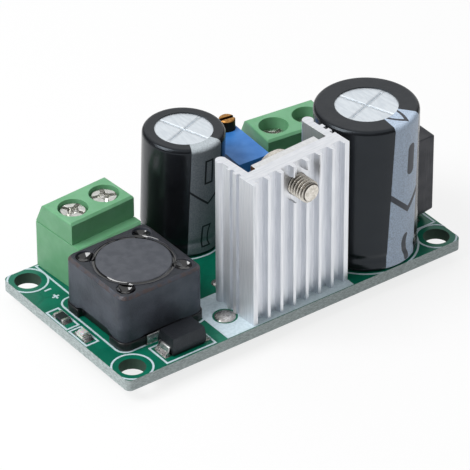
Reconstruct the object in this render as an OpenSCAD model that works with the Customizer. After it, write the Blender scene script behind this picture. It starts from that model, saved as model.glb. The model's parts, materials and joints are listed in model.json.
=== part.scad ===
// Adjustable step-down converter module on a small printed circuit board.
// The origin lies midway between the four corner holes, on the underside of the board.
// X runs along the long side, Y from the front edge to the wire entries, Z is up.

/* [Board] */
// Length of the board
board_l = 53; // [53:0.5:70]
// Width of the board, front edge to back edge
board_w = 28; // [27.5:0.5:34]
// Thickness of the board
board_t = 1.6; // [0.8:0.1:2.4]
// Radius of the board's corners
board_corner_r = 0.8; // [0.3:0.1:2]
// Diameter of the four corner holes
fix_hole_d = 3.5; // [2.2:0.1:3.8]
// Distance from the end edges to the corner holes' centres
fix_inset_x = 2.3; // [2.2:0.1:3]
// Distance from the front and back edges to the corner holes' centres
fix_inset_y = 2.35; // [2.2:0.05:3]
// Thickness of the printed legend and of the tinned pads
print_t = 0.04; // [0.03:0.01:0.1]
// Width of the legend's lines
print_line = 0.26; // [0.15:0.01:0.4]
// Length of the leads below the board
lead_out = 1.8; // [1.2:0.1:3]
// Height of the solder cones under the board
solder_h = 1.1; // [0.6:0.1:1.1]
// Clearance of a lead in its plated hole
hole_gap = 0.15; // [0.1:0.05:0.2]

/* [Terminal blocks] */
// Distance between neighbouring poles
pole_pitch = 5.08; // [5:0.04:5.4]
// Height of the blocks
block_h = 10.1; // [9.7:0.1:13]
// Depth of the blocks, inner face to wire face
block_d = 9.2; // [8.8:0.1:11]
// Depth of the low ledge on the inner side
ledge_d = 1.55; // [0.8:0.05:2]
// Height of that ledge
ledge_h = 6.9; // [5:0.1:8]
// Depth of the flat top face
block_top_d = 6.05; // [5.6:0.05:6.5]
// Height at which the slope above the wire entries starts
slope_h = 6.5; // [6.3:0.1:8]
// Distance of the screw axes behind the top face's inner edge
screw_back = 2.93; // [2.6:0.05:3.2]
// Size of the rounding along the blocks' edges
block_edge = 0.3; // [0.1:0.05:0.4]
// Diameter of the screwdriver wells
well_d = 4; // [3.9:0.05:4.3]
// Width and height of the wire entries
entry = [4.1, 4.4];
// Thickness of the floor below the wire entries
block_floor = 1.2; // [0.8:0.1:1.4]
// Depth of the clamp frames along the wire
frame_d = 4.2; // [3.6:0.1:4.6]
// Wall thickness of the clamp frames
frame_wall = 0.6; // [0.4:0.05:0.7]
// Thickness of the clamp plates
plate_t = 0.7; // [0.5:0.05:0.9]
// Diameter of the clamp screws' heads
screw_head_d = 3.7; // [3.2:0.1:3.8]
// Height of the clamp screws' heads
screw_head_h = 1.4; // [1:0.1:1.6]
// Diameter of the clamp screws' threads
screw_d = 2.5; // [2:0.1:2.6]
// Clearance between moving pieces of the clamps
clamp_gap = 0.05; // [0.03:0.01:0.1]
// Travel of a clamp between fully open and fully closed
clamp_travel = 2; // [1:0.1:2.2]
// Distance that the input block's clamps are screwed down
input_drop = 1.1; // [0:0.1:1.2]
// Depth of an open clamp's screw head below the block's top
screw_sunk = 0.35; // [0.2:0.05:0.6]
// Side and depth of the block's pins
block_pin = [1, 0.8];
// Left end of the output block, from the board's left edge
out_x = 5.9; // [5.5:0.1:7]
// Inner face of the output block, from the board's back edge
out_in = 9.15; // [9:0.05:10]
// Turn of the output block on the board
out_turn = 3.9; // [0:0.1:5]
// Left end of the input block, from the board's left edge
in_x = 37.2; // [37.1:0.1:38]
// Inner face of the input block at that end, from the board's back edge
in_in = 8.45; // [8.3:0.05:9]
// Turn of the input block on the board
in_turn = -6; // [-7:0.1:0]

/* [Inductor] */
// Side of the inductor's ferrite shield
shield_w = 12.6; // [11.6:0.1:12.8]
// Height of the inductor above the board
inductor_h = 8.15; // [7:0.05:10]
// Radius of the shield's upright edges
shield_r = 1.2; // [0.6:0.1:2]
// Thickness of the coil's square shield at its thinnest
shield_wall = 1; // [0.6:0.05:1.1]
// Size of the chamfer round the shield's top
shield_chamfer = 0.4; // [0.2:0.05:0.6]
// Running gap between the core and the shield
core_gap = 0.42; // [0.3:0.02:0.5]
// Thickness of the core's flanges
flange_t = 1.3; // [0.8:0.1:2]
// Diameter of the core's post
post_d = 5; // [4:0.1:6]
// Height of the moulded base
base_t = 1.2; // [0.6:0.1:1.4]
// Height of the arches in the shield's two sides without clips
arch_h = 0.6; // [0.4:0.1:1.5]
// Height of the arches over the clips
clip_arch_h = 0.25; // [0.2:0.05:0.8]
// Width of the arches at their top
arch_w = 5.4; // [4:0.1:6.5]
// Width of the drops of glue in the shield's corners
glue_d = 2.4; // [1.6:0.02:2.6]
// Depth of these drops
glue_t = 1.1; // [0.6:0.1:1.5]
// Width of the solder clips
clip_w = 5.6; // [4:0.1:6.5]
// Thickness of the solder clips
clip_t = 0.25; // [0.15:0.05:0.4]
// Inductor's centre from the board's left edge
inductor_x = 9.28; // [9:0.02:9.5]
// Inductor's centre from the board's front edge
inductor_y = 11.7; // [11.6:0.05:11.8]
// Turn of the inductor
inductor_turn = 0.8; // [0:0.1:2]

/* [Capacitors] */
// Diameter of the output capacitor over its sleeve
small_cap_d = 10.8; // [9:0.1:11]
// Height of the output capacitor above the board
small_cap_h = 16.45; // [12:0.05:25]
// Diameter of the input capacitor over its sleeve
large_cap_d = 13.65; // [12:0.05:13.8]
// Height of the input capacitor above the board
large_cap_h = 21.4; // [16:0.05:30]
// Thickness of the capacitors' sleeves
sleeve_t = 0.15; // [0.1:0.01:0.3]
// Radius of the cans' upper edges
can_round = 0.5; // [0.4:0.1:1]
// Depth of the crimped groove near the cans' feet
crimp = 0.12; // [0.1:0.01:0.6]
// Height of that groove above the can's lower edge
crimp_h = 1.7; // [1.4:0.1:3]
// Height of the rubber bungs under the cans
bung_h = 0.35; // [0.3:0.05:1]
// Diameter of the output capacitor's bare top
small_disc_d = 7.6; // [6:0.1:8]
// Diameter of the input capacitor's bare top
large_disc_d = 8.2; // [7:0.1:10]
// Distance between the output capacitor's leads
small_lead_gap = 5; // [3.5:0.5:5]
// Distance between the input capacitor's leads
large_lead_gap = 5; // [5:0.5:7.5]
// Diameter of the capacitors' leads
cap_lead_d = 0.7; // [0.5:0.1:0.8]
// Lean of the output capacitor
small_cap_lean = 1.7; // [0:0.1:2]
// Direction in which it leans, as an angle from the X axis
small_cap_lean_to = -36; // [-90:1:90]
// Distance from the capacitors' sides to their rubber bungs
bung_in = 1.5; // [1:0.1:2]
// Output capacitor's centre from the board's left edge
small_cap_x = 24.15; // [24:0.05:25.4]
// Output capacitor's centre from the board's back edge
small_cap_in = 5.7; // [5.6:0.05:6.5]
// Input capacitor's centre from the board's right edge
large_cap_in = 10.83; // [10.8:0.01:11.2]
// Input capacitor's centre from the board's front edge
large_cap_y = 6.66; // [6.6:0.02:7]

/* [Heat sink and regulator] */
// Width of the heat sink
sink_w = 15.8; // [14:0.1:16]
// Height of the heat sink
sink_h = 21.2; // [19:0.1:30]
// Depth of the heat sink over its side legs
sink_d = 8; // [7.6:0.1:9]
// Depth of the front fins
fin_d = 1; // [0.8:0.1:2]
// Thickness of the front fins at their tips
fin_t = 0.5; // [0.4:0.05:1]
// Thickness of the two outer fins at their tips
end_fin_t = 0.75; // [0.5:0.05:1]
// Thickness that the fins gain towards their roots
fin_draft = 0.2; // [0.1:0.05:0.7]
// Number of front fins
fin_n = 8; // [6:1:9]
// Thickness of the heat sink's back wall
sink_wall = 1.9; // [1.2:0.1:2.4]
// Thickness of the side legs
leg_t = 1.05; // [0.8:0.05:1.3]
// Distance that the side ribs stand out of the legs
rib_out = 0.45; // [0.2:0.05:0.6]
// Diameter of the rounded leg ends
leg_end_d = 1.5; // [1.2:0.05:1.8]
// Left end of the heat sink from the board's left edge
sink_x = 19.62; // [19.6:0.01:19.8]
// Front of the heat sink at that end, from the board's front edge
sink_y = 0.25; // [0.2:0.01:0.3]
// Turn of the heat sink
sink_turn = 3.7; // [0:0.1:4]
// Width of the regulator
reg_w = 10.4; // [9.8:0.1:10.6]
// Distance of the regulator's middle to the right of the heat sink's middle
reg_side = 0.25; // [0:0.05:0.3]
// Distance of the tab's end below the heat sink's top
tab_low = 0.2; // [0:0.1:0.5]
// Thickness of the regulator's metal tab
tab_t = 1.27; // [1.1:0.01:1.4]
// Length of the regulator's tab and case together
reg_h = 15.5; // [15:0.1:16]
// Length of the moulded case
case_h = 9.1; // [8.6:0.1:9.3]
// Thickness of the moulded case behind the tab
case_t = 3.2; // [3:0.05:3.4]
// Distance between the regulator's leads
reg_pitch = 1.7; // [1.6:0.02:1.8]
// Width and thickness of the regulator's leads
reg_lead = [0.8, 0.5];
// Distance between the two rows of lead ends
reg_row = 3.8; // [3:0.1:4.2]
// Distance of the fixing screw's axis below the heat sink's top
reg_hole = 3.45; // [2.8:0.05:3.6]
// Diameter of the fixing screw
reg_screw_d = 3; // [2.5:0.5:3]
// Length of the fixing screw below its head
reg_screw_l = 6; // [5:0.1:8]
// Diameter of the fixing screw's head
reg_head_d = 5.5; // [5:0.1:5.8]
// Height of the fixing screw's head
reg_head_h = 2; // [1.6:0.1:2.4]
// Diameter of the round seat cut into the fins
spot_d = 4.5; // [4.2:0.1:7]

/* [Bridge rectifier and diode] */
// Thickness of the bridge rectifier
bridge_t = 3.2; // [3:0.1:3.3]
// Length of the bridge rectifier
bridge_l = 14.6; // [14:0.1:15]
// Height of the bridge rectifier's case
bridge_h = 13.2; // [11:0.1:15]
// Size of the slanted lower corner
bridge_cut = 1.9; // [1:0.1:3]
// Height of the case's lower face above the legend
bridge_lift = 0.3; // [0.2:0.1:1]
// Distance between the rectifier's leads
bridge_pitch = 3.81; // [3.8:0.01:3.9]
// Diameter of the rectifier's leads
bridge_lead_d = 0.8; // [0.6:0.1:1]
// Outer face of the rectifier from the board's right edge
bridge_in = 0.62; // [0.5:0.02:0.7]
// Front end of the rectifier from the board's front edge
bridge_y = 5.3; // [5.2:0.1:6]
// Length, width and height of the diode's body
diode_body = [5.2, 3.3, 2.5];
// Length of the diode over its leads
diode_span = 6.2; // [5.8:0.1:6.4]
// Width of the diode's leads
diode_lead_w = 2.2; // [1.8:0.1:2.6]
// Thickness of the diode's leads
diode_lead_t = 0.25; // [0.15:0.05:0.3]
// Diode's centre from the board's left edge
diode_x = 10.1; // [9.8:0.02:10.2]
// Diode's centre from the board's front edge
diode_y = 2.55; // [2.4:0.05:2.6]

/* [Trimmer, lamp and resistor] */
// Width, length and height of the trimmer
trim_body = [4.85, 9.6, 10.2];
// Height of the trimmer's feet
trim_feet = 0.3; // [0.2:0.1:0.6]
// Far right corner of the trimmer from the board's left edge
trim_x = 36.2; // [35.6:0.1:36.3]
// Far right corner of the trimmer from the board's back edge
trim_in = 0; // [0:0.05:1.6]
// Turn of the trimmer
trim_turn = -2.9; // [-4:0.1:0]
// Diameter of the trimmer's screw
trim_screw_d = 2.2; // [1.8:0.1:2.3]
// Height of the screw above the trimmer
trim_screw_h = 1.55; // [1:0.05:2]
// Distance from the trimmer's two faces to its screw's axis
trim_screw_in = 1.25; // [1.25:0.05:1.6]
// Distance between the trimmer's pins
trim_pitch = 2.54; // [2.5:0.02:2.6]
// Diameter of the trimmer's pins
trim_pin_d = 0.5; // [0.4:0.05:0.7]
// Length, width and height of the small resistor
chip = [2.1, 1.25, 0.5];
// Length, width and height of the indicator lamp
lamp = [2.1, 1.25, 0.9];
// Length of the chips' metal ends
chip_end = 0.4; // [0.2:0.05:0.5]
// Resistor's centre from the board's front edge
chip_y = 16.1; // [15.9:0.1:16.3]
// Lamp's centre from the board's front edge
lamp_y = 11.3; // [11.2:0.1:11.5]
// Centre line of the lamp and the resistor from the board's left edge
chip_x = 1.1; // [1.05:0.01:1.15]

/* [Hidden] */
$fn = 48;
eps = 0.01;

// Height of the face on which the pieces stand
seat_z = board_t + print_t;
// Places along the board that depend on its size
out_y = board_w - out_in;
in_y = board_w - in_in;
small_cap_y = board_w - small_cap_in;
large_cap_x = board_l - large_cap_in;
bridge_x = board_l - bridge_in - bridge_t;
bridge_row_x = bridge_x + bridge_t / 2;
trim_y = board_w - trim_in;
fix_points = [for (x = [fix_inset_x, board_l - fix_inset_x])
    for (y = [fix_inset_y, board_w - fix_inset_y]) [x, y]];

// Sizes inside a terminal block, with heights from its foot
frame_w = screw_d + 2 * frame_wall + 4 * clamp_gap;
screw_y = ledge_d + screw_back;
frame_top = block_floor + entry[1] + 0.4;
open_head_z = block_h - screw_sunk - screw_head_h;
open_plate_z = frame_top - frame_wall - plate_t - clamp_gap;
shank_l = open_head_z - open_plate_z - plate_t - clamp_gap;

// Places on the heat sink
leg_in = rib_out + leg_t;
tab_v = fin_d + sink_wall;
lead_v = tab_v + tab_t + case_t / 2;
reg_foot = sink_h - tab_low - reg_h;
reg_u = sink_w / 2 + reg_side;
reg_axis_z = sink_h - reg_hole;
fin_step = (sink_w - 2 * end_fin_t + fin_t) / (fin_n - 1);
// Middle of a fin, with the outer fins' inner sides where the others' would be
function fin_at(i) = end_fin_t - fin_t / 2 + i * fin_step;

// A point of a turned piece, in the board's measures
function placed(p, x, y, turn) = [x + p[0] * cos(turn) - p[1] * sin(turn),
    y + p[0] * sin(turn) + p[1] * cos(turn)];
function pin_point(i) = [pole_pitch * (i + 0.5), screw_y];
function reg_point(i) = [reg_u + (i - 2) * reg_pitch, lead_v + (i % 2 == 1 ? reg_row : 0)];

// Every lead that goes through the board: place, turn, width and thickness, with
// a thickness of 0 for a round lead
leads = concat(
    [for (i = [0, 1]) concat(placed(pin_point(i), out_x, out_y, out_turn), [out_turn], block_pin)],
    [for (i = [0, 1]) concat(placed(pin_point(i), in_x, in_y, in_turn), [in_turn], block_pin)],
    [for (i = [0 : 4]) concat(placed(reg_point(i), sink_x, sink_y, sink_turn), [sink_turn], reg_lead)],
    [for (s = [-1, 1]) [small_cap_x + s * small_lead_gap / 2, small_cap_y, 0, cap_lead_d, 0]],
    [for (s = [-1, 1]) [large_cap_x + s * large_lead_gap / 2, large_cap_y, 0, cap_lead_d, 0]],
    [for (i = [0 : 3]) [bridge_row_x, bridge_y + bridge_l / 2 + (i - 1.5) * bridge_pitch, 0, bridge_lead_d, 0]],
    [for (i = [-1 : 1]) concat(placed([-trim_body[0] / 2, i * trim_pitch - trim_body[1] / 2], trim_x, trim_y,
        trim_turn), [0, trim_pin_d, 0])]);
function lead_r(l) = l[4] == 0 ? l[3] / 2 : norm([l[3], l[4]]) / 2;

// Filled round pads that carry no piece: place from the heat sink's corner, and radius
spares = [[-1.62, 3.98, 1.4], [1.9, 10.5, 0.8]];
spare_points = [for (p = spares) [sink_x + p[0], sink_y + p[1], p[2]]];
// Distance that the printed patch reaches out left of the heat sink, and its depth
patch = [4.2, 9];
// Flat pads under the pieces without through leads: place, turn and size
flat_pads = concat(
    [for (s = [-1, 1]) [diode_x + s * (diode_span / 2 - 0.1), diode_y, 0, 1, diode_lead_w + 0.3]],
    [for (s = [-1, 1]) [chip_x, chip_y + s * (chip[0] / 2 - 0.1), 0, chip[1] + 0.1, 0.9]],
    [for (s = [-1, 1]) [chip_x, lamp_y + s * (lamp[0] / 2 - 0.1), 0, lamp[1] + 0.1, 0.9]],
    [for (s = [-1, 1]) concat(placed([0, s * (shield_w / 2 - 0.8)], inductor_x, inductor_y, inductor_turn),
        [inductor_turn, clip_w + 0.4, 2.2])]);

// Puts a piece on the board at a place given from the near left corner
module on_board(x, y, turn = 0) {
    translate([x - board_l / 2, y - board_w / 2, seat_z])
        rotate([0, 0, turn])
            children();
}

// Lays a flat outline on the board's top face, in the board's measures
module printed(t = print_t) {
    translate([-board_l / 2, -board_w / 2, board_t])
        linear_extrude(t)
            children();
}

module rounded_rect(l, w, r) {
    translate([r, 0]) square([l - 2 * r, w]);
    translate([0, r]) square([l, w - 2 * r]);
    for (x = [r, l - r], y = [r, w - r]) translate([x, y]) circle(r);
}

module line_rect(x0, y0, x1, y1, r, t) {
    translate([x0, y0])
        difference() {
            rounded_rect(x1 - x0, y1 - y0, r);
            translate([t, t]) rounded_rect(x1 - x0 - 2 * t, y1 - y0 - 2 * t, max(r - t, 0.02));
        }
}

module line_ring(x, y, r, t) {
    translate([x, y])
        difference() {
            circle(r);
            circle(r - t);
        }
}

module lead_section(l, grow = 0) {
    if (l[4] == 0) circle(d = l[3] + 2 * grow, $fn = 32);
    else rotate(l[2]) square([l[3] + 2 * grow, l[4] + 2 * grow], center = true);
}

module circuit_board() {
    color([0.05, 0.45, 0.33])
        translate([-board_l / 2, -board_w / 2, 0])
            linear_extrude(board_t)
                difference() {
                    rounded_rect(board_l, board_w, board_corner_r);
                    for (p = fix_points) translate(p) circle(d = fix_hole_d);
                    for (l = leads) translate([l[0], l[1]]) circle(lead_r(l) + hole_gap, $fn = 32);
                }
}

module legend_lines() {
    t = print_line;
    coil = shield_w / 2;
    lead = diode_span / 2;
    tab = diode_body[1] / 2;
    side = chip[1] / 2 + 0.4;
    for (p = fix_points) line_ring(p[0], p[1], fix_hole_d / 2 + 1.02, t);
    line_rect(inductor_x - coil - 0.42, inductor_y - coil - 0.45, inductor_x + coil + 0.62,
        inductor_y + coil + 1.6, 1.6, t);
    line_rect(diode_x - lead - 0.9, diode_y - tab - 0.7, diode_x + lead + 0.62, diode_y + tab + 0.18, 0.03, t);
    line_rect(chip_x - side, chip_y - chip[0] / 2 - 1.45, chip_x + side, chip_y + chip[0] / 2 + 1.25, 0.03, t);
    line_rect(chip_x - side, lamp_y - lamp[0] / 2 - 1, chip_x + side, lamp_y + lamp[0] / 2 + 1, 0.03, t);
    line_ring(small_cap_x, small_cap_y, small_cap_d / 2 + 0.35, t);
    line_ring(large_cap_x, large_cap_y, large_cap_d / 2 + 0.35, t);
    line_rect(bridge_x - 0.3, bridge_y - 0.35, board_l - 0.3, bridge_y + bridge_l + 0.35, 0.03, t);
    line_rect(trim_x - trim_body[0] - 0.8, trim_y - trim_body[1] - 0.2, trim_x + 0.25, trim_y - 0.1, 0.03, t);
    line_rect(out_x - 1.1, out_y + 0.2, out_x + 2 * pole_pitch - 0.6, board_w - 0.2, 0.03, t);
    line_rect(in_x + 0.3, in_y - 0.9, in_x + 2 * pole_pitch + 1.2, board_w - 0.2, 0.03, t);
    translate([sink_x - patch[0], 0.1]) square([sink_w + patch[0], patch[1]]);
    for (p = [[3.2, 22.4, 0], [3.2, 20.6, 90]])
        translate([p[0], p[1]]) for (a = [0, p[2]]) rotate(a) square([1, t], center = true);
}

module legend_print() {
    color([0.9, 0.97, 0.97])
        printed()
            difference() {
                intersection() {
                    legend_lines();
                    rounded_rect(board_l, board_w, board_corner_r);
                }
                for (p = fix_points) translate(p) circle(d = fix_hole_d + 0.6);
                for (l = leads) translate([l[0], l[1]]) circle(lead_r(l) + hole_gap + 0.3, $fn = 32);
                for (p = spare_points) translate([p[0], p[1]]) circle(p[2] + 0.25, $fn = 32);
                for (p = flat_pads)
                    translate([p[0], p[1]]) rotate(p[2]) square([p[3] + 0.2, p[4] + 0.2], center = true);
            }
}

// Tinned pads: flat ones under the small pieces, slopes of solder up the diode's leads and
// two filled holes with a dome of solder
module board_pads() {
    e = diode_span / 2;
    rise = 0.6;
    color([0.75, 0.74, 0.7]) {
        printed() for (p = flat_pads) translate([p[0], p[1]]) rotate(p[2]) square([p[3], p[4]], center = true);
        diode_place() for (a = [0, 180]) rotate([0, 0, a])
            rotate([90, 0, 0]) linear_extrude(diode_lead_w, center = true)
                polygon([[e, 0], [e + 0.4, 0], [e - diode_slant * (rise - diode_lead_t), rise],
                    [e, diode_lead_t]]);
        for (p = spare_points)
            translate([p[0] - board_l / 2, p[1] - board_w / 2, board_t])
                rotate_extrude()
                    polygon([[0, 0], [p[2], 0], [p[2], print_t], [p[2] * 0.8, 0.22], [p[2] * 0.4, 0.32], [0, 0.34]]);
    }
}

// One cone of solder on the underside round every lead
module solder_joints() {
    color([0.78, 0.78, 0.76])
        for (l = leads)
            translate([l[0] - board_l / 2, l[1] - board_w / 2, 0])
                difference() {
                    rotate_extrude($fn = 32)
                        polygon([[0, 0], [lead_r(l) + 0.6, 0], [lead_r(l) + 0.5, -0.15],
                            [lead_r(l) + 0.2, -solder_h * 0.5], [lead_r(l) + 0.08, -solder_h], [0, -solder_h]]);
                    translate([0, 0, -solder_h - 1]) linear_extrude(solder_h + 2) lead_section(l);
                }
}

// Terminal blocks, each in its own measures: X along the poles, Y towards the wire entries
module block_profile() {
    e = block_edge;
    polygon([[0, 0], [0, ledge_h - e], [e, ledge_h], [ledge_d, ledge_h], [ledge_d, block_h - e],
        [ledge_d + e, block_h], [ledge_d + block_top_d - e, block_h],
        [ledge_d + block_top_d + 0.1, block_h - e], [block_d, slope_h], [block_d, 0]]);
}

module block_housing() {
    w = 2 * pole_pitch;
    front = screw_y - frame_d / 2 - 0.2;
    difference() {
        intersection() {
            rotate([90, 0, 90]) linear_extrude(w) block_profile();
            linear_extrude(block_h + 1) rounded_rect(w, block_d, block_edge);
            translate([0, block_d + 1, 0]) rotate([90, 0, 0])
                linear_extrude(block_d + 2) translate([0, -1]) rounded_rect(w, block_h + 1, block_edge);
        }
        for (i = [0, 1]) translate([pin_point(i)[0], 0, 0]) {
            translate([0, screw_y, frame_top - eps]) cylinder(d = well_d, h = block_h);
            translate([-entry[0] / 2, front, block_floor]) cube([entry[0], block_d, frame_top - block_floor]);
            translate([-block_pin[0] / 2 - clamp_gap, screw_y - block_pin[1] / 2 - clamp_gap, -eps])
                cube([block_pin[0] + 2 * clamp_gap, block_pin[1] + 2 * clamp_gap, block_floor + 2 * eps]);
        }
        for (x = [-eps, w - 0.12]) translate([x, ledge_d, ledge_h - 0.1])
            cube([0.12 + eps, block_d, 0.2]);
    }
}

// A bent metal frame with a tapped hole on top and a pin below
module clamp_frame(i) {
    translate([pin_point(i)[0], screw_y, 0]) {
        difference() {
            translate([-frame_w / 2, -frame_d / 2, block_floor])
                cube([frame_w, frame_d, frame_top - block_floor - clamp_gap]);
            translate([-frame_w / 2 + frame_wall, -frame_d, block_floor + frame_wall])
                cube([frame_w - 2 * frame_wall, 2 * frame_d, frame_top - block_floor - 2 * frame_wall - clamp_gap]);
            translate([0, 0, frame_top - 2 * frame_wall]) cylinder(d = screw_d + 2 * clamp_gap, h = 3);
        }
        translate([-block_pin[0] / 2, -block_pin[1] / 2, -seat_z - lead_out])
            cube([block_pin[0], block_pin[1], seat_z + lead_out + block_floor + eps]);
    }
}

module clamp_plate(i, drop) {
    w = frame_w - 2 * frame_wall - 4 * clamp_gap;
    d = frame_d - 0.6;
    translate([pin_point(i)[0] - w / 2, screw_y, open_plate_z - clamp_gap - drop])
        rotate([90, 0, 90])
            linear_extrude(w)
                polygon([[-d / 2, 0], [-d / 2 + 0.3, -0], [d / 2 - 0.3, 0], [d / 2, 0.25], [d / 2, plate_t],
                    [-d / 2, plate_t]]);
}

module clamp_screw(i, drop) {
    translate([pin_point(i)[0], screw_y, open_head_z - drop])
        difference() {
            rotate_extrude()
                polygon([[0, -shank_l], [screw_d / 2 - 0.3, -shank_l], [screw_d / 2, -shank_l + 0.3],
                    [screw_d / 2, 0], [screw_head_d / 2 - 0.15, 0], [screw_head_d / 2, 0.15],
                    [screw_head_d / 2, screw_head_h - 0.25], [screw_head_d / 2 - 0.25, screw_head_h],
                    [0, screw_head_h]]);
            for (a = [0, 90]) rotate([0, 0, 25 + 40 * i + a])
                translate([0.25 - screw_head_d / 2, -0.3, screw_head_h - 0.8])
                    cube([screw_head_d - 0.5, 0.6, 1]);
            translate([0, 0, screw_head_h - 0.9]) cylinder(d = 1.5, h = 2);
        }
}

module output_place() {
    on_board(out_x, out_y, out_turn) children();
}

module input_place() {
    on_board(in_x, in_y, in_turn) children();
}

module output_terminal_housing() {
    color([0.36, 0.68, 0.4]) output_place() block_housing();
}

module output_terminal_frames() {
    color([0.7, 0.7, 0.68]) output_place() for (i = [0, 1]) clamp_frame(i);
}

module output_clamp_plate_left() {
    color([0.72, 0.72, 0.7]) output_place() clamp_plate(0, 0);
}

module output_clamp_plate_right() {
    color([0.72, 0.72, 0.7]) output_place() clamp_plate(1, 0);
}

module output_clamp_screw_left() {
    color([0.8, 0.8, 0.78]) output_place() clamp_screw(0, 0);
}

module output_clamp_screw_right() {
    color([0.8, 0.8, 0.78]) output_place() clamp_screw(1, 0);
}

module input_terminal_housing() {
    color([0.36, 0.68, 0.4]) input_place() block_housing();
}

module input_terminal_frames() {
    color([0.7, 0.7, 0.68]) input_place() for (i = [0, 1]) clamp_frame(i);
}

module input_clamp_plate_left() {
    color([0.72, 0.72, 0.7]) input_place() clamp_plate(0, input_drop);
}

module input_clamp_plate_right() {
    color([0.72, 0.72, 0.7]) input_place() clamp_plate(1, input_drop);
}

module input_clamp_screw_left() {
    color([0.8, 0.8, 0.78]) input_place() clamp_screw(0, input_drop);
}

module input_clamp_screw_right() {
    color([0.8, 0.8, 0.78]) input_place() clamp_screw(1, input_drop);
}

// Inductor, in its own measures with its centre on the origin
module inductor_place() {
    on_board(inductor_x, inductor_y, inductor_turn) children();
}

module centred_rounded(w, r) {
    translate([-w / 2, -w / 2]) rounded_rect(w, w, r);
}

core_z = base_t;
// Width of the notches in the base's two sides without clips
notch_w = 6.8;
bore_d = shield_w - 2 * shield_wall;
flange_d = bore_d - 2 * core_gap;
glue_at = shield_w / 2 - shield_r - 0.7;

module inductor_base() {
    w = shield_w + 0.4;
    color([0.12, 0.12, 0.13])
        inductor_place()
            linear_extrude(base_t)
                difference() {
                    centred_rounded(w, shield_r + 0.2);
                    for (s = [-1, 1]) {
                        translate([s * w / 2, 0]) square([1.7, notch_w], center = true);
                        translate([0, s * w / 2]) square([clip_w + 0.1, 1.3], center = true);
                    }
                }
}

// Clips folded up in front of the base, one on each of two sides
module inductor_clips() {
    y = shield_w / 2 + 0.2 - 0.65;
    color([0.75, 0.74, 0.72])
        inductor_place()
            for (a = [0, 180]) rotate([0, 0, a]) {
                translate([-clip_w / 2, y, 0]) cube([clip_w, 0.6, clip_t]);
                translate([-clip_w / 2, shield_w / 2 + 0.02, 0]) cube([clip_w, clip_t, base_t + 0.05]);
            }
}

module inductor_core() {
    color([0.3, 0.32, 0.34])
        inductor_place() {
            translate([0, 0, core_z]) cylinder(d = flange_d, h = flange_t);
            translate([0, 0, core_z]) cylinder(d = post_d, h = inductor_h - core_z);
            translate([0, 0, inductor_h - flange_t]) cylinder(d = flange_d, h = flange_t);
        }
}

module inductor_winding() {
    h = inductor_h - core_z - 2 * flange_t;
    n = 8;
    color([0.72, 0.4, 0.2])
        inductor_place()
            translate([0, 0, core_z + flange_t])
                rotate_extrude() {
                    translate([post_d / 2, 0]) square([(flange_d - post_d) / 2 - 0.6, h]);
                    for (i = [0 : n - 1]) translate([flange_d / 2 - 0.6, (i + 0.5) * h / n])
                        circle(h / n / 2, $fn = 16);
                }
}

// The shield's outside: two crossed slabs with chamfered tops, closed by a turned post at
// each corner
module shield_block(h) {
    c = shield_chamfer;
    r = shield_r;
    half = shield_w / 2;
    for (a = [0, 90]) rotate([90, 0, a])
        linear_extrude(shield_w - 2 * r, center = true)
            polygon([[-half, 0], [half, 0], [half, h - c], [half - c, h], [c - half, h], [-half, h - c]]);
    for (x = [-1, 1], y = [-1, 1]) translate([x * (half - r), y * (half - r), 0])
        rotate_extrude()
            polygon([[0, 0], [r, 0], [r, h - c], [r - c, h], [0, h]]);
}

module inductor_shield() {
    h = inductor_h - 0.1 - base_t;
    a0 = arch_w / 2;
    a1 = a0 + 1.2;
    color([0.26, 0.27, 0.29])
        inductor_place()
            translate([0, 0, base_t])
                difference() {
                    shield_block(h);
                    translate([0, 0, -1]) cylinder(d = bore_d, h = h + 2, $fn = 64);
                    for (x = [-1, 1], y = [-1, 1]) translate([x * glue_at, y * glue_at, h - glue_t])
                        cylinder(d = glue_d + 0.06, h = 2 * glue_t, $fn = 32);
                    for (side = [[0, clip_arch_h], [90, arch_h]])
                        rotate([90, 0, side[0]]) linear_extrude(2 * shield_w, center = true)
                            polygon([[-a1, -1], [-a1, 0], [-a0, side[1]], [a0, side[1]], [a1, 0], [a1, -1]]);
                }
}

module inductor_glue() {
    r = glue_d / 2;
    color([0.06, 0.06, 0.07])
        inductor_place()
            translate([0, 0, inductor_h - 0.1 - glue_t])
                difference() {
                    for (x = [-1, 1], y = [-1, 1]) translate([x * glue_at, y * glue_at, 0])
                        rotate_extrude($fn = 32)
                            polygon([[0, 0], [r, 0], [r, glue_t - 0.4], [r * 0.6, glue_t - 0.15], [0, glue_t - 0.05]]);
                    cylinder(d = flange_d + 0.06, h = 4, $fn = 64, center = true);
                }
}

// Diode with flat folded leads
module diode_place() {
    on_board(diode_x, diode_y) children();
}

// Side view of a moulded body that is widest at its parting line
module moulded_outline(l, z0, z1) {
    low = 0.1;
    high = 0.2;
    line = z0 + (z1 - z0) * 0.38;
    polygon([[low - l / 2, z0], [l / 2 - low, z0], [l / 2, line], [l / 2 - high, z1], [high - l / 2, z1],
        [-l / 2, line]]);
}

// A lead's bend, and the distance that its face moves out per height below the bend
diode_bend = [diode_body[0] / 2 + 0.23, diode_body[2] / 2];
diode_slant = (diode_span / 2 - diode_bend[0]) / (diode_bend[1] - diode_lead_t);

module diode_lead_pair() {
    x = diode_body[0] / 2;
    e = diode_span / 2;
    t = diode_lead_t;
    b = diode_bend;
    for (a = [0, 180]) rotate([0, 0, a])
        rotate([90, 0, 0]) linear_extrude(diode_lead_w, center = true)
            polygon([[x - 0.3, b[1]], [b[0] - 0.1, b[1]], [b[0], b[1] - 0.08], [e, t], [e, 0], [x + 0.02, 0],
                [x + 0.02, t], [e - t, t], [b[0] - t, b[1] - t], [x - 0.3, b[1] - t]]);
}

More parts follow.
